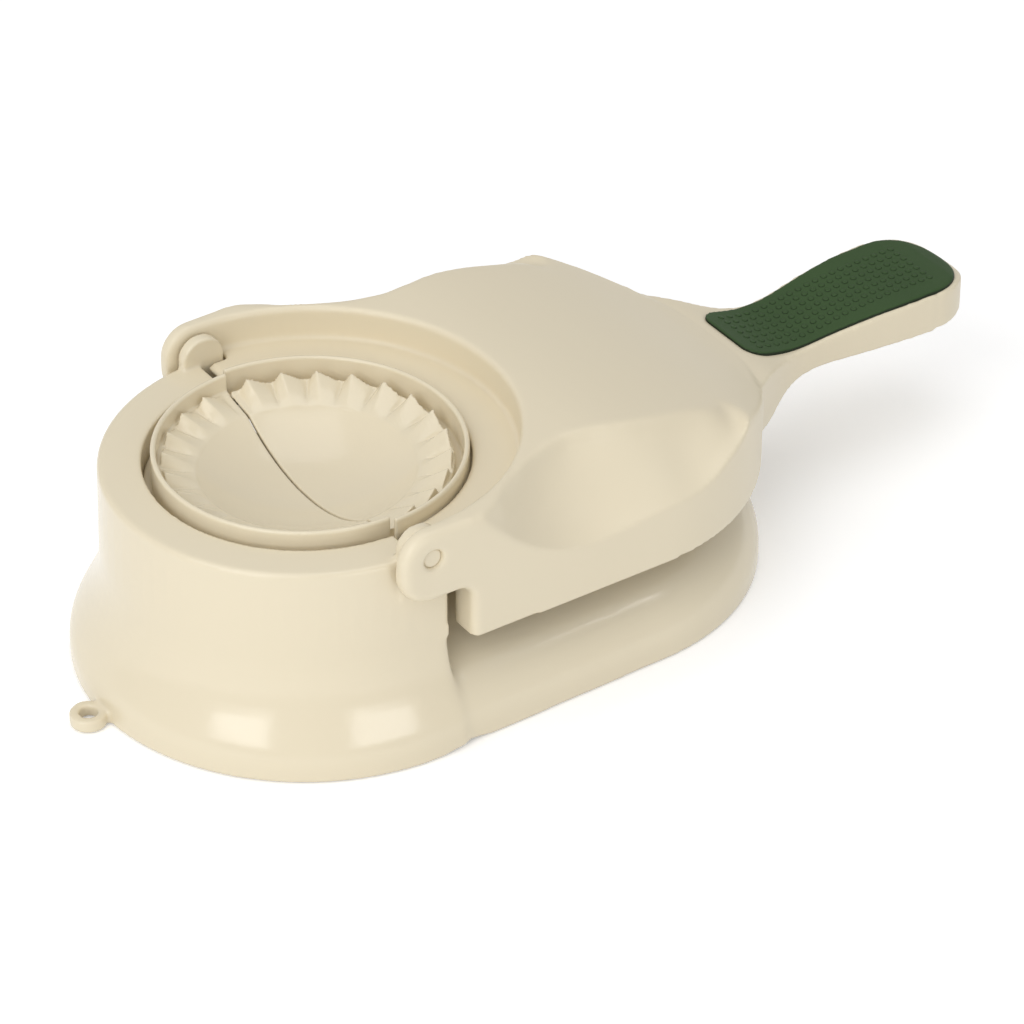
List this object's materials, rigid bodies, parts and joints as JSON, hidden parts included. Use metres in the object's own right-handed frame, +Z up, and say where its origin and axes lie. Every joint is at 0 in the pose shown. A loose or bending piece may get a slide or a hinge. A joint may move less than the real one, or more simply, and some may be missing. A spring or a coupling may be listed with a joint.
{
  "type": "empanada press",
  "caption": "Lever press for filled dough pockets: a folding pleated mould on a tower and, under the lever, a flat plate that presses and trims the dough sheet.",
  "frame": {"origin": "on the table, below the middle of the bounding box, which is the axis of the dough press", "axes": "+X along the lever towards the end of its handle, +Y along the hinge line away from the viewer, +Z up; the lever lies closed on the dough press"},
  "size_m": [0.3209, 0.144, 0.0765],
  "materials": {
    "cream_plastic": "glossy moulded plastic",
    "grip_rubber": "dark green soft-touch, finely dotted",
    "foot_rubber": "soft matt rubber",
    "screw_steel": "plain zinc-plated"
  },
  "bodies": {
    "base": {"base_body": "cream_plastic", "left_mould_half": "cream_plastic", "left_mould_screws": "screw_steel", "dough_plate": "cream_plastic", "dough_plate_screws": "screw_steel", "near_hinge_pin": "cream_plastic", "far_hinge_pin": "cream_plastic", "far_left_foot": "foot_rubber", "near_left_foot": "foot_rubber", "far_right_foot": "foot_rubber", "near_right_foot": "foot_rubber"},
    "lever": {"lever_body": "cream_plastic", "right_mould_half": "cream_plastic", "right_mould_screws": "screw_steel", "press_plate": "cream_plastic", "grip_pad": "grip_rubber"}
  },
  "joints": [
    {"name": "lever_hinge", "type": "hinge", "parent": "base", "child": "lever", "pos_m": [-0.0775, 0, 0.0674], "axis": [0, -1, 0], "range_deg": [0, 180]}
  ]
}
